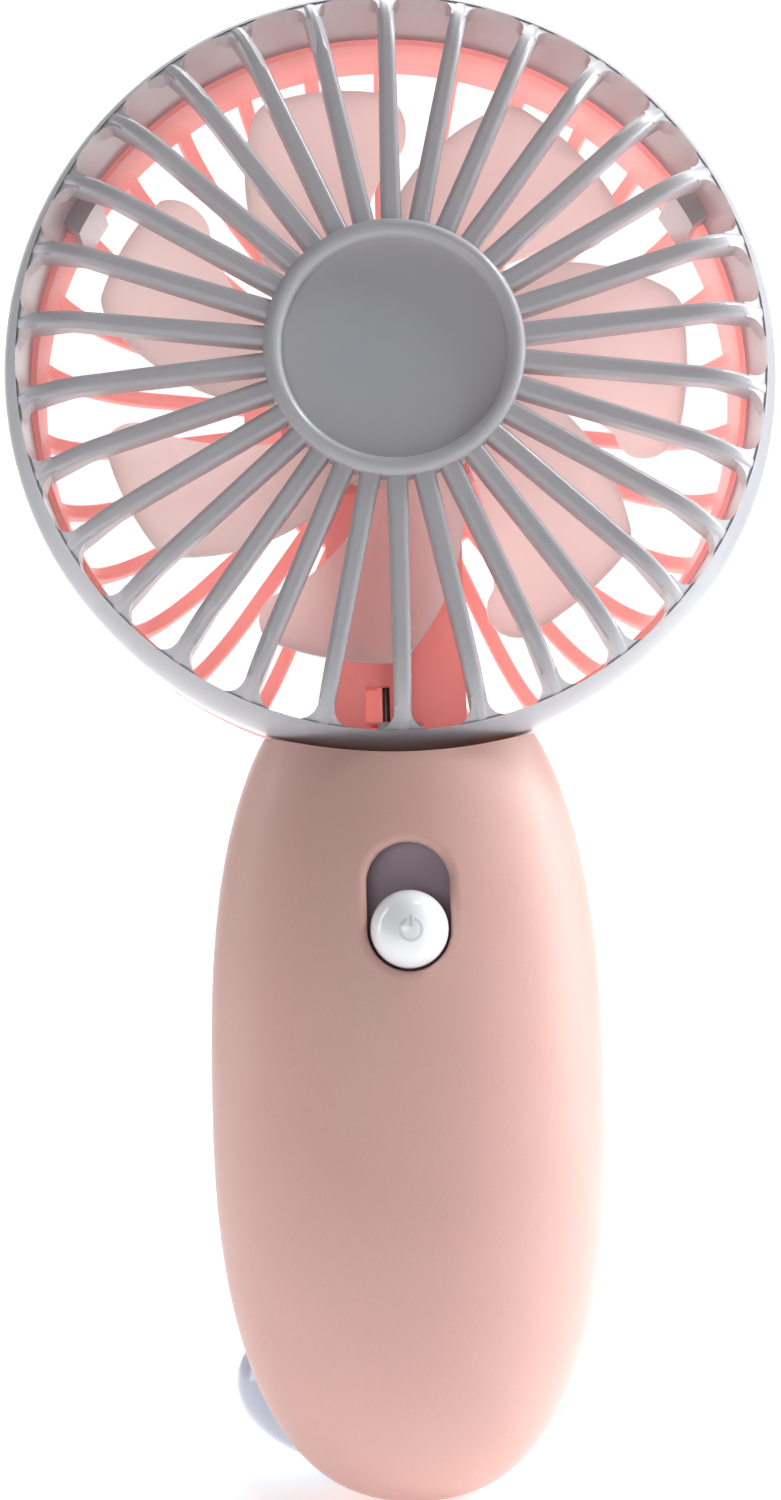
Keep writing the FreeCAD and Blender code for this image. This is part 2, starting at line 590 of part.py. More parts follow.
def lead(name, x, radius, *path):
    """An insulated lead in the plane x: straight runs of its path joined by tangent arcs."""
    spots = [FreeCAD.Vector(number(x), number(y), number(z)) for y, z in path]
    edges = []
    start = spots[0]
    for before, corner, after in zip(spots, spots[1:], spots[2:]):
        inward = (corner - before).normalize()
        outward = (after - corner).normalize()
        turn = inward.getAngle(outward)
        trim = 0.45 * min((corner - before).Length, (after - corner).Length)
        enter, leave = corner - inward * trim, corner + outward * trim
        bend = trim / math.tan(turn / 2)
        bisector = (outward - inward).normalize()
        centre = corner + bisector * math.hypot(bend, trim)
        edges.append(Part.LineSegment(start, enter).toShape())
        edges.append(Part.Arc(enter, centre - bisector * bend, leave).toShape())
        start = leave
    edges.append(Part.LineSegment(start, spots[-1]).toShape())
    wire = Part.Wire(edges)
    section = Part.Wire(Part.Circle(spots[0], spots[1] - spots[0], number(radius)).toShape())
    made = document.addObject("Part::Feature", name)
    made.Shape = wire.makePipeShell([section], True, True)
    expected = math.pi * number(radius) ** 2 * wire.Length
    print(f"{name}: {wire.Length:.1f} mm, volume {made.Shape.Volume / expected:.3f} of its section's")


def leads():
    for name, x in (("motor_lead_red", "1.3"), ("motor_lead_black", "-1.3")):
        lead(name, x, "leadRadius", ("canBack + 0.3 + leadRadius", head("-6")),
             ("canBack + 0.3 + leadRadius", head("-19.2")), ("strutFront + 3.2", head("-19.2")),
             ("strutFront + 3.2", head("-59")), ("mainBoardFront - 0.05 - leadRadius", head("-63")),
             ("mainBoardFront - 0.05 - leadRadius", head("-66.5")))
    lead("battery_lead_red", "4", "leadRadius - 0.1", ("cellDepth", "cellBottom + cellLength + 0.8"),
         ("mainBoardFront - 0.5", "cellBottom + cellLength + 0.8"), ("mainBoardFront - 0.5", "mainBoardTop - 7"))
    lead("battery_lead_black", "-4", "leadRadius - 0.1", ("cellDepth", "cellBottom - 0.8"),
         ("mainBoardFront - 0.5", "cellBottom - 0.8"), ("mainBoardFront - 0.5", "mainBoardBottom + 5"))
    gather("switch_leads", *[
        rod(f"SwitchLead{side}", x, "-switchBoardFront + boardThick", "slotBottom - 1", "0.45",
            "switchBoardFront - boardThick + mainBoardFront") for side, x in (("Left", "-8.2"), ("Right", "8.2"))])


# ------------------------------------------------------------------ handle

caseScrews = (("-14", "24"), ("14", "24"), ("-13", "70"), ("13", "70"))
switchPosts = tuple((x, z) for x in ("-7.8", "7.8") for z in ("54.5", "77.5"))
mainPosts = tuple((x, z) for x in ("-6.8", "6.8") for z in ("mainBoardBottom + 2.8", "mainBoardTop - 2.8"))
footScrews = (("-9", "9"), ("9", "9"))


def egg(name, inset):
    """The handle's form: an upright outline with (width)^n + (height)^n = 1, where n is its fullness,
    turned about Z and then narrowed from front to back."""
    wide = size["handleWidth"] / 2 - inset
    deep = size["handleDepth"] / 2 - inset
    power = 2 / size["fullness"]
    points = []
    for step in range(-9, 10):
        angle = math.pi / 2 * step / 9
        reach = size["upperReach"] if step > 0 else size["lowerReach"]
        rise = math.copysign(abs(math.sin(angle)) ** power, angle) * (reach - inset)
        across = wide * max(math.cos(angle), 0) ** power if abs(step) < 9 else 0
        points.append(FreeCAD.Vector(across, 0, size["widestHeight"] + rise))
    curve = Part.BSplineCurve()
    curve.interpolate(points, InitialTangent=FreeCAD.Vector(1, 0, 0), FinalTangent=FreeCAD.Vector(-1, 0, 0))
    axis = Part.LineSegment(points[-1], points[0]).toShape()
    face = Part.Face(Part.Wire([curve.toShape(), axis]))
    whole = face.revolve(FreeCAD.Vector(), FreeCAD.Vector(0, 0, 1), 360)
    squash = FreeCAD.Matrix()
    squash.scale(1, deep / wide, 1)
    made = document.addObject("Part::Feature", name)
    made.Shape = whole.transformGeometry(squash)
    return made


def stadium(name, x, width, low, high, y, length):
    """An upright slot with round ends that runs along Y."""
    radius = f"({width}) / 2"
    return fuse(name, rod(name + "Low", x, y, f"({low}) + {radius}", radius, length),
                rod(name + "High", x, y, f"({high}) - {radius}", radius, length),
                block(name + "Middle", (f"({x}) - {radius}", y, f"({low}) + {radius}"),
                      (f"({x}) + {radius}", f"({y}) + ({length})", f"({high}) - {radius}")))


def lyingStadium(name, width, rise, z, y, length):
    """The same slot, lying on its side and centred on the handle."""
    radius, reach = f"({rise}) / 2", f"(({width}) - ({rise})) / 2"
    return fuse(name, rod(name + "Left", f"-{reach}", y, z, radius, length),
                rod(name + "Right", reach, y, z, radius, length),
                block(name + "Middle", (f"-{reach}", y, f"({z}) - {radius}"),
                      (reach, f"({y}) + ({length})", f"({z}) + {radius}")))


def handleShells():
    form = egg("HandleEgg", 0)
    hollow = egg("HandleHollow", size["handleWall"])
    standing = block("AboveTheFlat", ("-40", "-40", "0"), ("40", "40", "120"))
    outer = common("HandleForm", form, standing)
    clearance = rod("HeadClearance", "0", "-40", head("0"), "rimRadius + headGap", "80")
    cellBed = rod("CellBed", "0", "cellDepth", "0", "cellRadius + 0.05", "100", upright)

    frontHalf = block("FrontHalf", ("-40", "-40", "-1"), ("40", "seamFront", "120"))
    wall = cut("FrontWall", cut("FrontCup", common("FrontForm", outer, frontHalf), hollow), clearance)
    ribs = [cut(f"CellRib{rib}", block(f"CellRibBlank{rib}", ("-19", "-16", z), ("19", "-1", f"{z} + 1.6")), cellBed)
            for rib, z in enumerate(("30", "46"))]
    bosses = [rod(f"FrontBoss{spot}", x, "-18", z, "2.5", "18 + seamFront") for spot, (x, z) in enumerate(caseScrews)]
    posts = [rod(f"SwitchPost{spot}", x, "-18", z, "1.7", "18 - switchBoardFront")
             for spot, (x, z) in enumerate(switchPosts)]
    inside = common("FrontInside", fuse("FrontFittings", *ribs, *bosses, *posts), document.FrontForm)
    pilots = [rod(f"FrontPilot{spot}", x, "-7", z, "screwShank + 0.02", "8") for spot, (x, z) in enumerate(caseScrews)]
    taps = [rod(f"SwitchTap{spot}", x, "-switchBoardFront - 4", z, "screwShank + 0.02", "5")
            for spot, (x, z) in enumerate(switchPosts)]
    slot = stadium("SwitchSlot", "0", "slotWidth", "slotBottom", "slotTop", "-25", "15")
    pocket = block("ShieldTrack", ("-shieldWidth / 2 - 0.3", "-shieldFront - 0.3", "slotBottom - knobTravel - 0.8"),
                   ("shieldWidth / 2 + 0.3", "-shieldFront + 3", "slotTop + knobTravel + 0.9"))
    sharp = cut("FrontShellSharp", fuse("FrontShellSolid", wall, inside), slot, pocket, *pilots, *taps)
    document.recompute()
    edges = []
    for index, edge in enumerate(sharp.Shape.Edges, 1):
        box = edge.BoundBox
        if box.YMax < -14 and max(abs(box.XMin), abs(box.XMax)) < size["slotWidth"] / 2 + 0.1 and box.ZMin > 59:
            edges.append((index, size["slotRound"], size["slotRound"]))
    print("slot edges", len(edges))
    soft = document.addObject("Part::Fillet", "handle_front_shell")
    soft.Base = sharp
    soft.Edges = edges

    rearHalf = block("RearHalf", ("-40", "seamBack", "-1"), ("40", "40", "120"))
    wall = cut("RearWall", cut("RearCup", common("RearForm", outer, rearHalf), hollow), clearance)
    bosses = [rod(f"RearBoss{spot}", x, "seamBack", z, "2.7", "18") for spot, (x, z) in enumerate(caseScrews)]
    posts = [rod(f"MainPost{spot}", x, "mainBoardFront + boardThick", z, "1.7", "8")
             for spot, (x, z) in enumerate(mainPosts)]
    pads = [rod(f"FootBoss{spot}", x, "7.5", z, "2.6", "8") for spot, (x, z) in enumerate(footScrews)]
    stems = [rod(f"NeckBoss{spot}", x, "8.5", neckScrewHeight, "2.7", "8") for spot, x in enumerate(neckScrews)]
    inside = common("RearInside", fuse("RearFittings", *bosses, *posts, *pads, *stems), document.RearForm)
    holes = []
    for spot, (x, z) in enumerate(caseScrews):
        holes.append(rod(f"CaseHole{spot}", x, "0", z, "screwShank + 0.15", "6"))
        holes.append(rod(f"CaseSink{spot}", x, "4.5", z, "screwHead + 0.3", "16"))
    for spot, x in enumerate(neckScrews):
        holes.append(rod(f"NeckScrewHole{spot}", x, "8", neckScrewHeight, "screwShank + 0.15", "8"))
        holes.append(rod(f"NeckSink{spot}", x, "11", neckScrewHeight, "screwHead + 0.3", "9"))
    for spot, (x, z) in enumerate(mainPosts):
        holes.append(rod(f"MainTap{spot}", x, "mainBoardFront", z, "screwShank + 0.02", "5.2"))
    for spot, (x, z) in enumerate(footScrews):
        holes.append(rod(f"FootHole{spot}", x, "7", z, "screwShank + 0.15", "8"))
        holes.append(rod(f"FootSink{spot}", x, "2", z, "screwHead + 0.3", "5.5"))
    holes.append(lyingStadium("PortHole", "socketWidth + 0.7", "socketRise + 0.7", "socketHeight", "11", "9"))
    holes.append(rod("LightHole", "8", "11", "socketHeight", "1.05", "9"))
    cut("handle_rear_shell", fuse("RearShellSolid", wall, inside), *holes)


def rearFoot():
    blank = primitive("Ellipsoid", "FootBlank", ("0", "footDepth", "footHeight"),
                      Radius1="footRise / 2", Radius2="footWidth / 2", Radius3="footReach / 2")
    standing = block("FootAboveFlat", ("-40", "-40", "0"), ("40", "40", "60"))
    pilots = [rod(f"FootPilot{spot}", x, "8", z, "screwShank + 0.02", "7.6") for spot, (x, z) in enumerate(footScrews)]
    cut("rear_foot", common("FootForm", blank, standing), document.HandleEgg, *pilots)


# ------------------------------------------------------------------ switch, boards and cell

def switch():
    ball = primitive("Sphere", "KnobBall", ("0", "-knobDepth", "knobHeight"), Radius="knobRadius")
    front = block("KnobFront", ("-10", "-30", "40"), ("10", "-shieldFront - 0.02", "90"))
    stem = rod("KnobStem", "0", "-shieldFront - 1", "knobHeight", "1.6", "2.1")
    fuse("slide_knob", common("KnobHead", ball, front), stem)
    half = "shieldWidth / 2"
    plate = block("ShieldBlank", (f"-{half}", "-shieldFront", "slotBottom - knobTravel - 0.5"),
                  (half, "-shieldFront + shieldThick", "slotTop + 0.5"))
    cut("knob_shield", plate, rod("ShieldHole", "0", "-shieldFront - 1", "knobHeight", "1.61", "3"))
    block("switch_slider", ("-1", "-shieldFront + 1.1", "knobHeight - 1.6"), ("1", "-8.9", "knobHeight + 1.6"))
    middle = "(slotBottom + slotTop) / 2"
    case = block("SwitchCase", ("-4.4", "-10.6", f"{middle} - 6.4"), ("4.4", "-switchBoardFront", f"{middle} + 6.4"))
    track = block("SwitchTrack", ("-1.3", "-11", "knobHeight - 1.9"), ("1.3", "-8.6", "knobHeight + knobTravel + 1.9"))
    cut("switch_housing", case, track)
    back = "-switchBoardFront + boardThick"
    holes = [rod(f"SwitchBoardHole{spot}", x, "-9", z, "screwShank + 0.1", "4") for spot, (x, z) in enumerate(switchPosts)]
    pins = [(x, f"{middle} + {rise}") for x in ("-3.6", "3.6") for rise in ("-4", "0", "4")]
    gather("switch_pins", *[rod(f"SwitchPin{spot}", x, "-switchBoardFront", z, "0.35", "boardThick + 0.8")
                            for spot, (x, z) in enumerate(pins)])
    pinHoles = [rod(f"SwitchPinHole{spot}", x, "-9", z, "0.36", "4") for spot, (x, z) in enumerate(pins)]
    cut("switch_board", block("SwitchBoardBlank", ("-9.6", "-switchBoardFront", "52"), ("9.6", back, "79.5")),
        *holes, *pinHoles)


def mainBoard():
    front, back = "mainBoardFront", "mainBoardFront + boardThick"
    half = "mainBoardWidth / 2"
    holes = [rod(f"MainBoardHole{spot}", x, "8", z, "screwShank + 0.1", "4") for spot, (x, z) in enumerate(mainPosts)]
    cut("main_board", block("MainBoardBlank", (f"-{half}", front, "mainBoardBottom"), (half, back, "mainBoardTop")),
        *holes)
    chips = (("-2.5", "50", "5", "4", "1.5"), ("-6", "42", "3", "2.6", "1.1"), ("3", "42", "4.4", "4.4", "2.4"),
             ("4", "52", "1.6", "0.9", "0.7"), ("-6.5", "55", "0.9", "1.6", "0.7"), ("5.4", "57", "2.6", "1.4", "0.9"),
             ("-1", "58", "1.6", "0.9", "0.7"), ("-5", "48", "0.9", "1.6", "0.7"), ("7", "32.3", "1.9", "1.4", "0.7"))
    gather("board_components", *[
        block(f"Chip{spot}", (x, back, z), (f"{x} + {wide}", f"{back} + {rise}", f"{z} + {tall}"))
        for spot, (x, z, wide, tall, rise) in enumerate(chips)])
    depth = "socketMouth - mainBoardFront - boardThick"
    shell = lyingStadium("SocketOutside", "socketWidth", "socketRise", "socketHeight", back, depth)
    bore = lyingStadium("SocketInside", "socketWidth - 0.6", "socketRise - 0.6", "socketHeight", f"{back} + 0.8", "9")
    cut("charge_socket_shell", shell, bore)
    block("charge_socket_tongue", ("-3.3", f"{back} + 0.8", "socketHeight - 0.35"),
          ("3.3", "socketMouth - 0.7", "socketHeight + 0.35"))
    rod("charge_light", "8", f"{back} + 0.8", "socketHeight", "1", "15.6 - mainBoardFront - boardThick - 0.8")


def cell():
    top = "cellBottom + cellLength"
    fuse("battery_cell", rod("CellBody", "0", "cellDepth", "cellBottom", "cellRadius", "cellLength - 0.6", upright),
         rod("CellButton", "0", "cellDepth", f"{top} - 0.6", "3", "0.6", upright))
    gather("battery_tabs", block("TopTab", ("-3", "cellDepth - 2", top), ("5", "cellDepth + 2", f"{top} + 0.3")),
           block("BottomTab", ("-5", "cellDepth - 2", "cellBottom - 0.3"), ("3", "cellDepth + 2", "cellBottom")))
    block("battery_pad", ("-3", "cellDepth + cellRadius + 0.02", "36"), ("3", "mainBoardFront", "46"))


def screws(name, spots, seat, length, away):
    """Cross-head screws whose heads sit on a seat: away is 1 where a head points to +Y, else -1."""
    made = []
    for spot, (x, z) in enumerate(spots):
        mark = f"{name}_{spot}_"
        low = seat if away > 0 else f"{seat} - screwHeadRise"
        shank = f"{seat} - {length}" if away > 0 else seat
        top = f"{low} + screwHeadRise - 0.7" if away > 0 else f"{low} - 0.3"
        blank = fuse(mark + "Blank", rod(mark + "Head", x, low, z, "screwHead", "screwHeadRise"),
                     rod(mark + "Shank", x, shank, z, "screwShank", length))
        crosses = [block(mark + turn, (f"{x} - {wide}", top, f"{z} - {tall}"),
                         (f"{x} + {wide}", f"{top} + 1", f"{z} + {tall}"))
                   for turn, wide, tall in (("Across", "1.1", "0.2"), ("Upright", "0.2", "1.1"))]
        made.append(cut(mark + "Screw", blank, *crosses))
    gather(name, *made)


def fasteners():
    screws("handle_screws", caseScrews, "4.5", "11", 1)
    screws("neck_screws", [(x, neckScrewHeight) for x in neckScrews], "11", "11.6", 1)
    screws("foot_screws", footScrews, "7.5", "7.8", -1)
    screws("main_board_screws", mainPosts, "mainBoardFront", "5", -1)
    screws("switch_board_screws", switchPosts, "-switchBoardFront + boardThick", "5", 1)


nodes = """front_grille rear_cover impeller motor_can motor_end_cap motor_shaft motor_bushes motor_magnets
motor_armature motor_windings motor_commutator motor_brushes motor_terminals motor_lead_red motor_lead_black
battery_lead_red battery_lead_black switch_leads handle_front_shell handle_rear_shell rear_foot slide_knob
knob_shield switch_slider switch_housing switch_pins switch_board main_board board_components
charge_socket_shell charge_socket_tongue charge_light battery_cell battery_tabs battery_pad handle_screws
neck_screws foot_screws main_board_screws switch_board_screws""".split()

frontGuard()
rearCover()
impeller()
motor()
leads()
handleShells()
rearFoot()
switch()
mainBoard()
cell()
fasteners()
document.recompute()

faults = [made.Name for made in document.Objects if {"Invalid", "Error"} & set(made.State)]
shapes = {node: document.getObject(node).Shape for node in nodes}
faults += [node for node, shape in shapes.items() if shape.isNull() or not shape.isValid() or shape.Volume <= 0]
if faults:
    raise SystemExit("failed: " + ", ".join(faults))
os.makedirs("parts", exist_ok=True)
for node, shape in shapes.items():
    shape.exportStep(f"parts/{node}.step")
    print(f"{node:24s}{len(shape.Solids):3d} solids{shape.Volume:12.1f} mm3")
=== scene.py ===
import bpy
import json
import numpy as np
from mathutils import Matrix, Vector


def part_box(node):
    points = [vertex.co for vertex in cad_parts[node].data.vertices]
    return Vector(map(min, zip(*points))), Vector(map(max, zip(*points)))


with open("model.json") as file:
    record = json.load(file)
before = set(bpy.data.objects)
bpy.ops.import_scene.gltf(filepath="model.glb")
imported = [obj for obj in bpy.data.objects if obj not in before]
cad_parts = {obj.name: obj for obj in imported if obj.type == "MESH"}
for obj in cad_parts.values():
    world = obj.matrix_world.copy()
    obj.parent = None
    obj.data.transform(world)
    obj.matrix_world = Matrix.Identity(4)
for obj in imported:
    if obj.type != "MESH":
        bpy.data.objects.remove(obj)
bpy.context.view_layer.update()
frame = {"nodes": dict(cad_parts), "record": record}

mm = 0.001
grainDepth = 0.03 * mm
print("frame loaded:", len(frame["nodes"]), "nodes")


# One output socket: sums, products and comparisons with it add Math nodes.
class Wire:
    def __init__(self, paint, socket):
        self.paint, self.socket = paint, socket

    def math(self, operation, *values):
        return self.paint.node("ShaderNodeMath", {"operation": operation}, dict(enumerate(values)))

    def __add__(self, other):
        return self.math("ADD", self, other)

    def __sub__(self, other):
        return self.math("SUBTRACT", self, other)

    def __rsub__(self, other):
        return self.math("SUBTRACT", other, self)

    def __mul__(self, other):
        return self.math("MULTIPLY", self, other)

    def __rmul__(self, other):
        return self.math("MULTIPLY", other, self)

    def __pow__(self, other):
        return self.math("POWER", self, other)

    def __gt__(self, other):
        return self.math("GREATER_THAN", self, other)

    def __lt__(self, other):
        return self.math("LESS_THAN", self, other)

    def __abs__(self):
        return self.math("ABSOLUTE", self)

    def larger(self, other):
        return self.math("MAXIMUM", self, other)


# A material under construction, with one method that adds any node.
class Paint:
    def __init__(self, name, **constants):
        self.material = bpy.data.materials.new(name)
        self.material.use_nodes = True
        self.tree = self.material.node_tree
        self.shader = self.tree.nodes["Principled BSDF"]
        for key, value in constants.items():
            self.join(value, self.shader.inputs[key.replace("_", " ")])

    def node(self, kind, settings=None, inputs=None, output=0):
        made = self.tree.nodes.new(kind)
        for key, value in (settings or {}).items():
            setattr(made, key, value)
        for key, value in (inputs or {}).items():
            self.join(value, made.inputs[key])
        return Wire(self, made.outputs[output])

    def join(self, value, socket):
        if isinstance(value, Wire):
            self.tree.links.new(value.socket, socket)
        elif isinstance(value, tuple) and len(value) == 3 and socket.type == "RGBA":
            socket.default_value = (*value, 1.0)
        else:
            socket.default_value = value

    def place(self):
        return self.node("ShaderNodeTexCoord", output=3)

    def parts(self, vector):
        return [self.node("ShaderNodeSeparateXYZ", None, {0: vector}, output=axis) for axis in range(3)]

    def noise(self, scale, detail=2.0, rough=0.5, vector=None):
        return self.node("ShaderNodeTexNoise", None, {
            "Vector": vector or self.place(), "Scale": scale, "Detail": detail, "Roughness": rough})

    def cells(self, scale, feature="F1", randomness=1.0):
        return self.node("ShaderNodeTexVoronoi", {"feature": feature}, {
            "Vector": self.place(), "Scale": scale, "Randomness": randomness})

    def spread(self, value, low, high, start=0.0, stop=1.0):
        return self.node("ShaderNodeMapRange", None, {
            "Value": value, "From Min": low, "From Max": high, "To Min": start, "To Max": stop})

    def mixed(self, share, first, second, mode="MIX"):
        made = self.tree.nodes.new("ShaderNodeMix")
        made.data_type = "RGBA"
        made.blend_type = mode
        for index, value in ((0, share), (6, first), (7, second)):
            self.join(value, made.inputs[index])
        return Wire(self, made.outputs[2])

    def bump(self, rise, strength, distance=0.02 * mm):
        inputs = {"Height": rise, "Strength": strength, "Distance": distance}
        return self.node("ShaderNodeBump", None, inputs)

    def feed(self, **links):
        for key, value in links.items():
            self.join(value, self.shader.inputs[key.replace("_", " ")])
        return self.material


def coat(node, material):
    for slot in frame["nodes"][node].material_slots:
        slot.material = material


plastics = {
    "guard_grey": {"colour": (0.46, 0.465, 0.50), "shade": (0.42, 0.43, 0.465), "rough": 0.34,
                   "grain": 1900.0, "rise": 0.08,
                   "fixed": {"Subsurface_Weight": 0.06, "Coat_Weight": 0.15, "Coat_Roughness": 0.2}},
    "handle_pink": {"colour": (0.70, 0.40, 0.36), "shade": (0.66, 0.37, 0.33), "rough": 0.46, "grain": 3400.0,
                    "rise": 0.25, "speckle": 0.05,
                    "fixed": {"Sheen_Weight": 0.12, "Sheen_Roughness": 0.4, "Subsurface_Weight": 0.1}},
    "shield_mauve": {"colour": (0.40, 0.31, 0.37), "shade": (0.36, 0.28, 0.34), "rough": 0.5, "grain": 2400.0,
                     "rise": 0.2},
    # The rear foot is white plastic: both its tones are darkened and tinted blue as painted shade, for the
    # shade the foot sits in.
    "foot_white": {"colour": (0.50, 0.56, 0.67), "shade": (0.46, 0.52, 0.63), "rough": 0.17, "grain": 1400.0,
                   "rise": 0.04,
                   "fixed": {"Coat_Weight": 0.3, "Coat_Roughness": 0.08, "Subsurface_Weight": 0.1}},
    "magnet": {"colour": (0.055, 0.055, 0.06), "shade": (0.04, 0.04, 0.045), "rough": 0.6, "grain": 1200.0,
               "rise": 0.4},
    "white_nylon": {"colour": (0.74, 0.73, 0.69), "shade": (0.68, 0.67, 0.63), "rough": 0.4},
    "black_plastic": {"colour": (0.025, 0.025, 0.027), "shade": (0.018, 0.018, 0.02), "rough": 0.42},
    "lead_red": {"colour": (0.50, 0.03, 0.02), "shade": (0.42, 0.022, 0.016), "rough": 0.2, "grain": 900.0,
                 "rise": 0.1, "fixed": {"Coat_Weight": 0.4}},
    "lead_black": {"colour": (0.03, 0.026, 0.026), "shade": (0.02, 0.018, 0.018), "rough": 0.2,
                   "grain": 900.0, "rise": 0.1, "fixed": {"Coat_Weight": 0.4}},
    "cell_wrap": {"colour": (0.09, 0.25, 0.42), "shade": (0.07, 0.21, 0.37), "rough": 0.16, "grain": 500.0,
                  "rise": 0.2, "fixed": {"Coat_Weight": 0.6}},
    "foam": {"colour": (0.07, 0.07, 0.075), "shade": (0.045, 0.045, 0.05), "rough": 0.85, "grain": 1500.0,
             "rise": 0.8},
    "light_pipe": {"colour": (0.85, 0.86, 0.84), "shade": (0.80, 0.81, 0.79), "rough": 0.1, "grain": 900.0,
                   "rise": 0.05, "fixed": {"Transmission_Weight": 0.6}},
}


# Moulded plastic: the base colour drifts slowly between two tones, a fine grain dents the surface, and the
# roughness wanders a little about its own value.
def mouldedPlastic(name, colour, shade, rough, grain=2600.0, rise=0.14, speckle=0.0, fixed=None):
    paint = Paint(name, **(fixed or {}))
    tone = paint.mixed(paint.spread(paint.noise(38.0, 3.0), 0.3, 0.7), shade, colour)
    fine = paint.noise(grain, 3.0, 0.6)
    if speckle:
        tone = paint.mixed(paint.spread(fine, 0.35, 0.65, 0.0, speckle), tone, (1.0, 1.0, 1.0), "OVERLAY")
    paint.feed(
        Base_Color=tone,
        Roughness=paint.spread(paint.noise(90.0, 4.0, 0.55), 0.3, 0.7, rough - 0.04, rough + 0.05),
        Normal=paint.bump(fine, rise, grainDepth))
    return paint


sheer = {
    "guard_pink": {"colour": (0.96, 0.63, 0.61), "shade": (0.94, 0.58, 0.56), "rough": 0.36, "grain": 1900.0,
                   "rise": 0.08, "through": (1.0, 0.60, 0.58), "share": 0.60},
    "blade_pink": {"colour": (0.90, 0.84, 0.81), "shade": (0.87, 0.80, 0.77), "rough": 0.24, "grain": 1500.0,
                   "rise": 0.04, "through": (1.0, 0.97, 0.96), "share": 0.78},
}


# Plastic that lets some light through: a share of a translucent surface is mixed into the moulded one.
def sheerPlastic(name, through, share, **look):
    paint = mouldedPlastic(name, **look)
    glow = paint.node("ShaderNodeBsdfTranslucent", None, {"Color": through})
    thin = paint.spread(paint.noise(30.0, 2.0), 0.3, 0.7, share - 0.03, share + 0.03)
    solid = Wire(paint, paint.shader.outputs[0])
    blend = paint.node("ShaderNodeMixShader", None, {0: thin, 1: solid, 2: glow})
    paint.join(blend, paint.tree.nodes["Material Output"].inputs["Surface"])
    return paint


metals = {
    "steel": {"colour": (0.62, 0.62, 0.63), "rough": 0.22},
    "screw_steel": {"colour": (0.10, 0.10, 0.11), "rough": 0.30, "streak": 0.2,
                    "scale": (700.0, 700.0, 700.0)},
    "core_steel": {"colour": (0.35, 0.35, 0.37), "rough": 0.35, "streak": 0.2,
                   "scale": (40.0, 2600.0, 40.0)},
    "copper": {"colour": (0.60, 0.23, 0.10), "rough": 0.22, "streak": 0.2, "scale": (300.0, 2200.0, 300.0)},
    "brass": {"colour": (0.62, 0.42, 0.17), "rough": 0.3},
    "nickel": {"colour": (0.68, 0.66, 0.60), "rough": 0.2},
}


# Drawn or rolled metal: noise stretched along one direction gives its grain and its streaks of roughness.
def metal(name, colour, rough, streak=0.25, scale=(900.0, 30.0, 900.0)):
    paint = Paint(name, Metallic=1.0)
    drawn = paint.node("ShaderNodeMapping", None, {"Vector": paint.place(), "Scale": scale})
    grain = paint.noise(1.0, 4.0, 0.6, drawn)
    dark = tuple(channel * 0.72 for channel in colour)
    paint.feed(
        Base_Color=paint.mixed(paint.spread(paint.noise(160.0, 3.0), 0.3, 0.75), dark, colour),
        Roughness=paint.spread(grain, 0.25, 0.75, rough, rough + streak),
        Normal=paint.bump(grain, 0.12, grainDepth))
    return paint


knobLook = {"ring": 1.15 * mm, "stroke": 0.17 * mm, "gap": 0.42 * mm,
            "bar": (0.35 * mm, 1.55 * mm), "ink": 0.45}


# Gloss white with a faint power mark on its front half: the ring is where the distance from the knob's
# middle is within a stroke of the ring's radius, less an opening at the top that the bar stands in.
def knobPlastic():
    paint = Paint("Knob white", Coat_Weight=0.4, Coat_Roughness=0.04, Subsurface_Weight=0.08)
    low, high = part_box("slide_knob")
    x, y, z = paint.parts(paint.place())
    across, up = x - (low[0] + high[0]) / 2, z - (low[2] + high[2]) / 2
    ring = abs((across ** 2 + up ** 2) ** 0.5 - knobLook["ring"]) < knobLook["stroke"]
    opening = (abs(across) < knobLook["gap"]) * (up > 0.0)
    bar = (abs(across) < knobLook["stroke"]) * (up > knobLook["bar"][0]) * (up < knobLook["bar"][1])
    mark = (ring * (1.0 - opening)).larger(bar) * (y < (low[1] + high[1]) / 2)
    white = paint.mixed(paint.spread(paint.noise(120.0), 0.3, 0.7), (0.83, 0.83, 0.86), (0.89, 0.89, 0.91))
    paint.feed(
        Base_Color=paint.mixed(mark * knobLook["ink"], white, (0.42, 0.40, 0.43)),
        Roughness=paint.spread(paint.noise(260.0, 3.0), 0.3, 0.7, 0.09, 0.16))
    return paint


# Solder mask: darker tracks along the edges of large cells, tinned pads in the middles of small ones.
def circuitBoard():
    paint = Paint("Solder mask", Coat_Weight=0.5, Coat_Roughness=0.15)
    tracks = paint.spread(paint.cells(420.0, feature="DISTANCE_TO_EDGE"), 0.04, 0.07)
    pads = paint.cells(700.0, randomness=0.35) < 0.12
    green = paint.mixed(tracks, (0.035, 0.20, 0.09), (0.018, 0.12, 0.05))
    paint.feed(
        Base_Color=paint.mixed(pads, green, (0.72, 0.70, 0.66)), Metallic=pads,
        Roughness=paint.spread(paint.noise(300.0), 0.3, 0.7, 0.25, 0.4), Normal=paint.bump(tracks, 0.3))
    return paint


finishes = {name: mouldedPlastic(name, **look) for name, look in plastics.items()}
finishes.update({name: sheerPlastic(name, **look) for name, look in sheer.items()})
finishes.update({name: metal(name, **look) for name, look in metals.items()})
finishes["knob_white"] = knobPlastic()
finishes["board_green"] = circuitBoard()
for part in frame["record"]["subparts"]:
    coat(part["node"], finishes[part["material_slot"]].material)
print("finishes:", len(finishes))


view = {"place": (-7.8, -215.0, 66.0), "yaw": -0.0311, "pitch": 0.0905, "roll": -0.0244,
        "focal": 1.2103333, "film": 24.0, "near": 0.01}


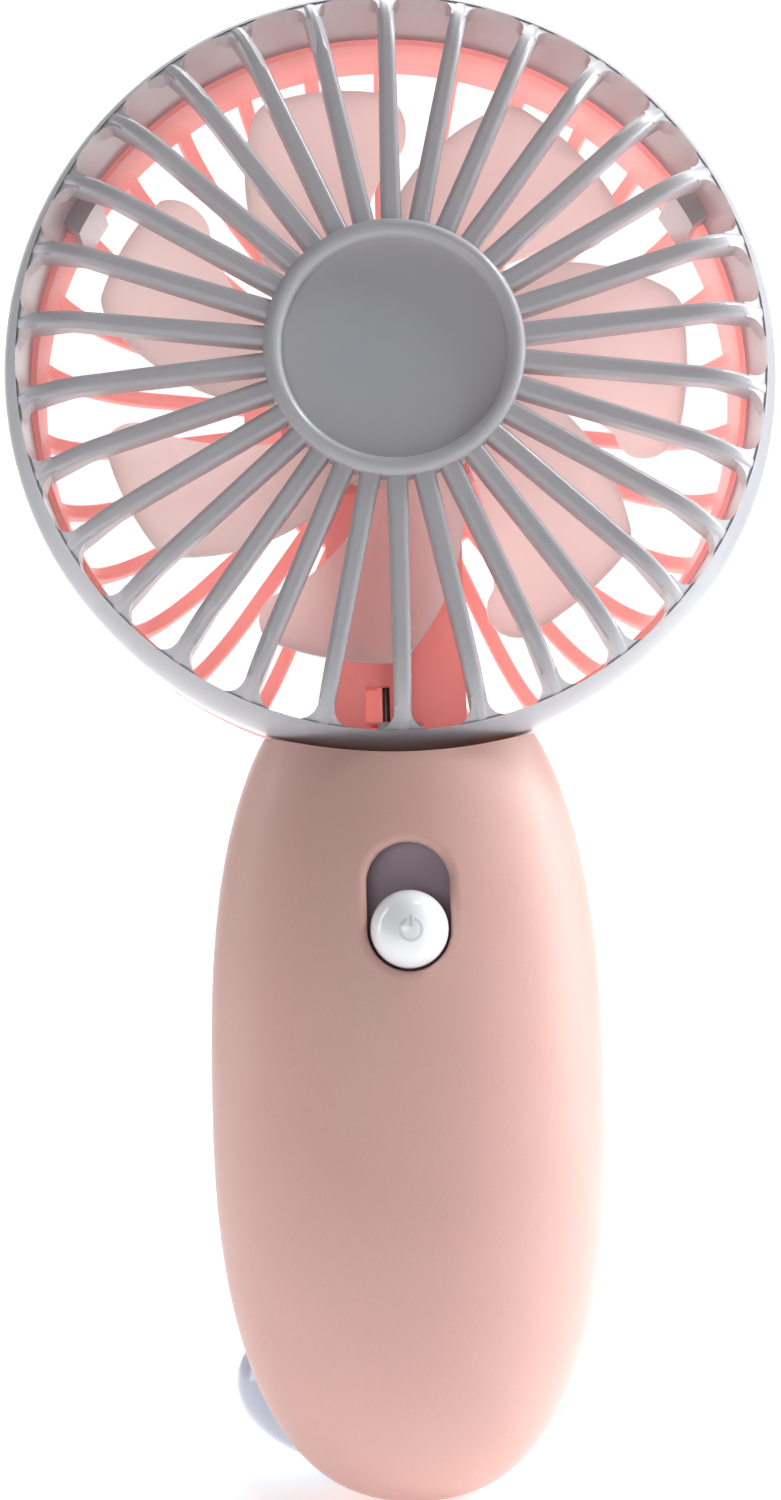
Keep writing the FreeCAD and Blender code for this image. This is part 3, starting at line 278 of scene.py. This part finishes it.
# The camera looks along +Y, turned by yaw about Z, raised by pitch, then rolled about its line of sight.
def camera():
    yaw, pitch, roll = view["yaw"], view["pitch"], view["roll"]
    ahead = np.array([-np.sin(yaw) * np.cos(pitch), np.cos(yaw) * np.cos(pitch), np.sin(pitch)])
    right = np.array([np.cos(yaw), np.sin(yaw), 0.0])
    up = np.cross(right, ahead)
    data = bpy.data.cameras.new("Camera")
    data.sensor_fit = "VERTICAL"
    data.sensor_height = view["film"]
    data.lens = view["film"] * view["focal"]
    data.clip_start = view["near"]
    item = bpy.data.objects.new("Camera", data)
    bpy.context.scene.collection.objects.link(item)
    rows = np.eye(4)
    rows[:3, 0] = right * np.cos(roll) + up * np.sin(roll)
    rows[:3, 1] = up * np.cos(roll) - right * np.sin(roll)
    rows[:3, 2], rows[:3, 3] = -ahead, np.array(view["place"]) * mm
    item.matrix_world = Matrix(rows.tolist())
    bpy.context.scene.camera = item


# A smooth mesh over a grid of points, rows by columns.
def surface(name, grid):
    rows, columns = grid.shape[:2]
    index = np.arange(rows * columns).reshape(rows, columns)
    quads = np.stack([index[:-1, :-1], index[:-1, 1:], index[1:, 1:], index[1:, :-1]], -1).reshape(-1, 4)
    mesh = bpy.data.meshes.new(name)
    mesh.from_pydata(grid.reshape(-1, 3).tolist(), [], quads.tolist())
    mesh.polygons.foreach_set("use_smooth", np.full(len(mesh.polygons), True))
    item = bpy.data.objects.new(name, mesh)
    bpy.context.scene.collection.objects.link(item)
    return item


stage = {"bend": 1.6, "near": -2.2, "far": 1.4, "top": 5.0, "half": 4.0, "glow": 0.85, "front": 0.10,
         "dim": (-0.16, -0.06), "grey": 0.3, "fan": 0.36, "edge": (0.12, 0.55), "side": 0.3,
         "reach": (0.10, 0.80), "close": 0.55}


# A pale floor that turns up into a wall: straight, then a quarter circle of the bend's radius, then straight.
# It glows in a wedge that widens and brightens behind the fan; in front it is grey and glows less.
def backdrop():
    turn = np.linspace(0, np.pi / 2, 24)
    bend, far = stage["bend"], stage["far"]
    along = np.concatenate([[stage["near"]], far + bend * np.sin(turn), [far + bend]])
    rise = np.concatenate([[0.0], bend * (1 - np.cos(turn)), [stage["top"]]])
    across = np.linspace(-stage["half"], stage["half"], 9)
    grid = np.stack(np.broadcast_arrays(across, along[:, None], rise[:, None]), -1)
    floor = surface("Floor", grid)
    paint = Paint("Floor white", Specular_IOR_Level=0.1, Emission_Strength=stage["glow"])
    tone = paint.mixed(paint.spread(paint.noise(3.0), 0.3, 0.7), (0.86, 0.86, 0.865), (0.88, 0.88, 0.88))
    x, y, z = paint.parts(paint.place())
    behind = paint.spread(y, *stage["dim"], stage["front"], 1.0)
    beside = paint.spread(abs(x) - stage["fan"] * y, *stage["edge"], 1.0, stage["side"])
    away = paint.spread(y, *stage["reach"], stage["close"], 1.0)
    paint.feed(Base_Color=paint.mixed(behind, (stage["grey"],) * 3, tone),
               Emission_Color=paint.mixed(behind * beside * away, (0.0, 0.0, 0.0), (1.0, 1.0, 1.0)),
               Roughness=paint.spread(paint.noise(5.0), 0.3, 0.7, 0.85, 0.95))
    floor.data.materials.append(paint.material)


lamps = {
    "Right window": {"place": (0.60, 0.03, 0.30), "size": (0.25, 0.6), "power": 4.5},
    "Top": {"place": (0.12, 0.15, 0.80), "size": (0.6, 0.3), "power": 3.0},
    "Left edge": {"place": (-0.55, 0.10, 0.25), "size": (0.12, 0.6), "power": 0.9},
    "Key": {"place": (0.42, -0.12, 0.62), "size": (0.07, 0.07), "power": 2.1},
    "Front": {"place": (-0.18, -0.60, 0.02), "size": (0.3, 0.3), "power": 1.2},
    "Behind": {"place": (0.0, 0.60, 0.25), "size": (0.7, 0.6), "power": 1.5},
}


room = {"middle": Vector((0.0, 0.0, 0.09)), "strength": 0.12}


# Soft rectangles of light that all face the middle of the fan, in a dim white room.
def lighting():
    for name, lamp in lamps.items():
        data = bpy.data.lights.new(name, "AREA")
        data.shape = "RECTANGLE"
        data.size, data.size_y = lamp["size"]
        data.energy = lamp["power"]
        item = bpy.data.objects.new(name, data)
        bpy.context.scene.collection.objects.link(item)
        item.location = lamp["place"]
        item.rotation_euler = (room["middle"] - Vector(lamp["place"])).to_track_quat("-Z", "Y").to_euler()
    world = bpy.data.worlds.new("Studio")
    world.use_nodes = True
    world.node_tree.nodes["Background"].inputs["Color"].default_value = (1.0, 1.0, 1.0, 1.0)
    world.node_tree.nodes["Background"].inputs["Strength"].default_value = room["strength"]
    bpy.context.scene.world = world
    bpy.context.scene.view_settings.view_transform = "Standard"


camera()
backdrop()
lighting()
print("stage set")
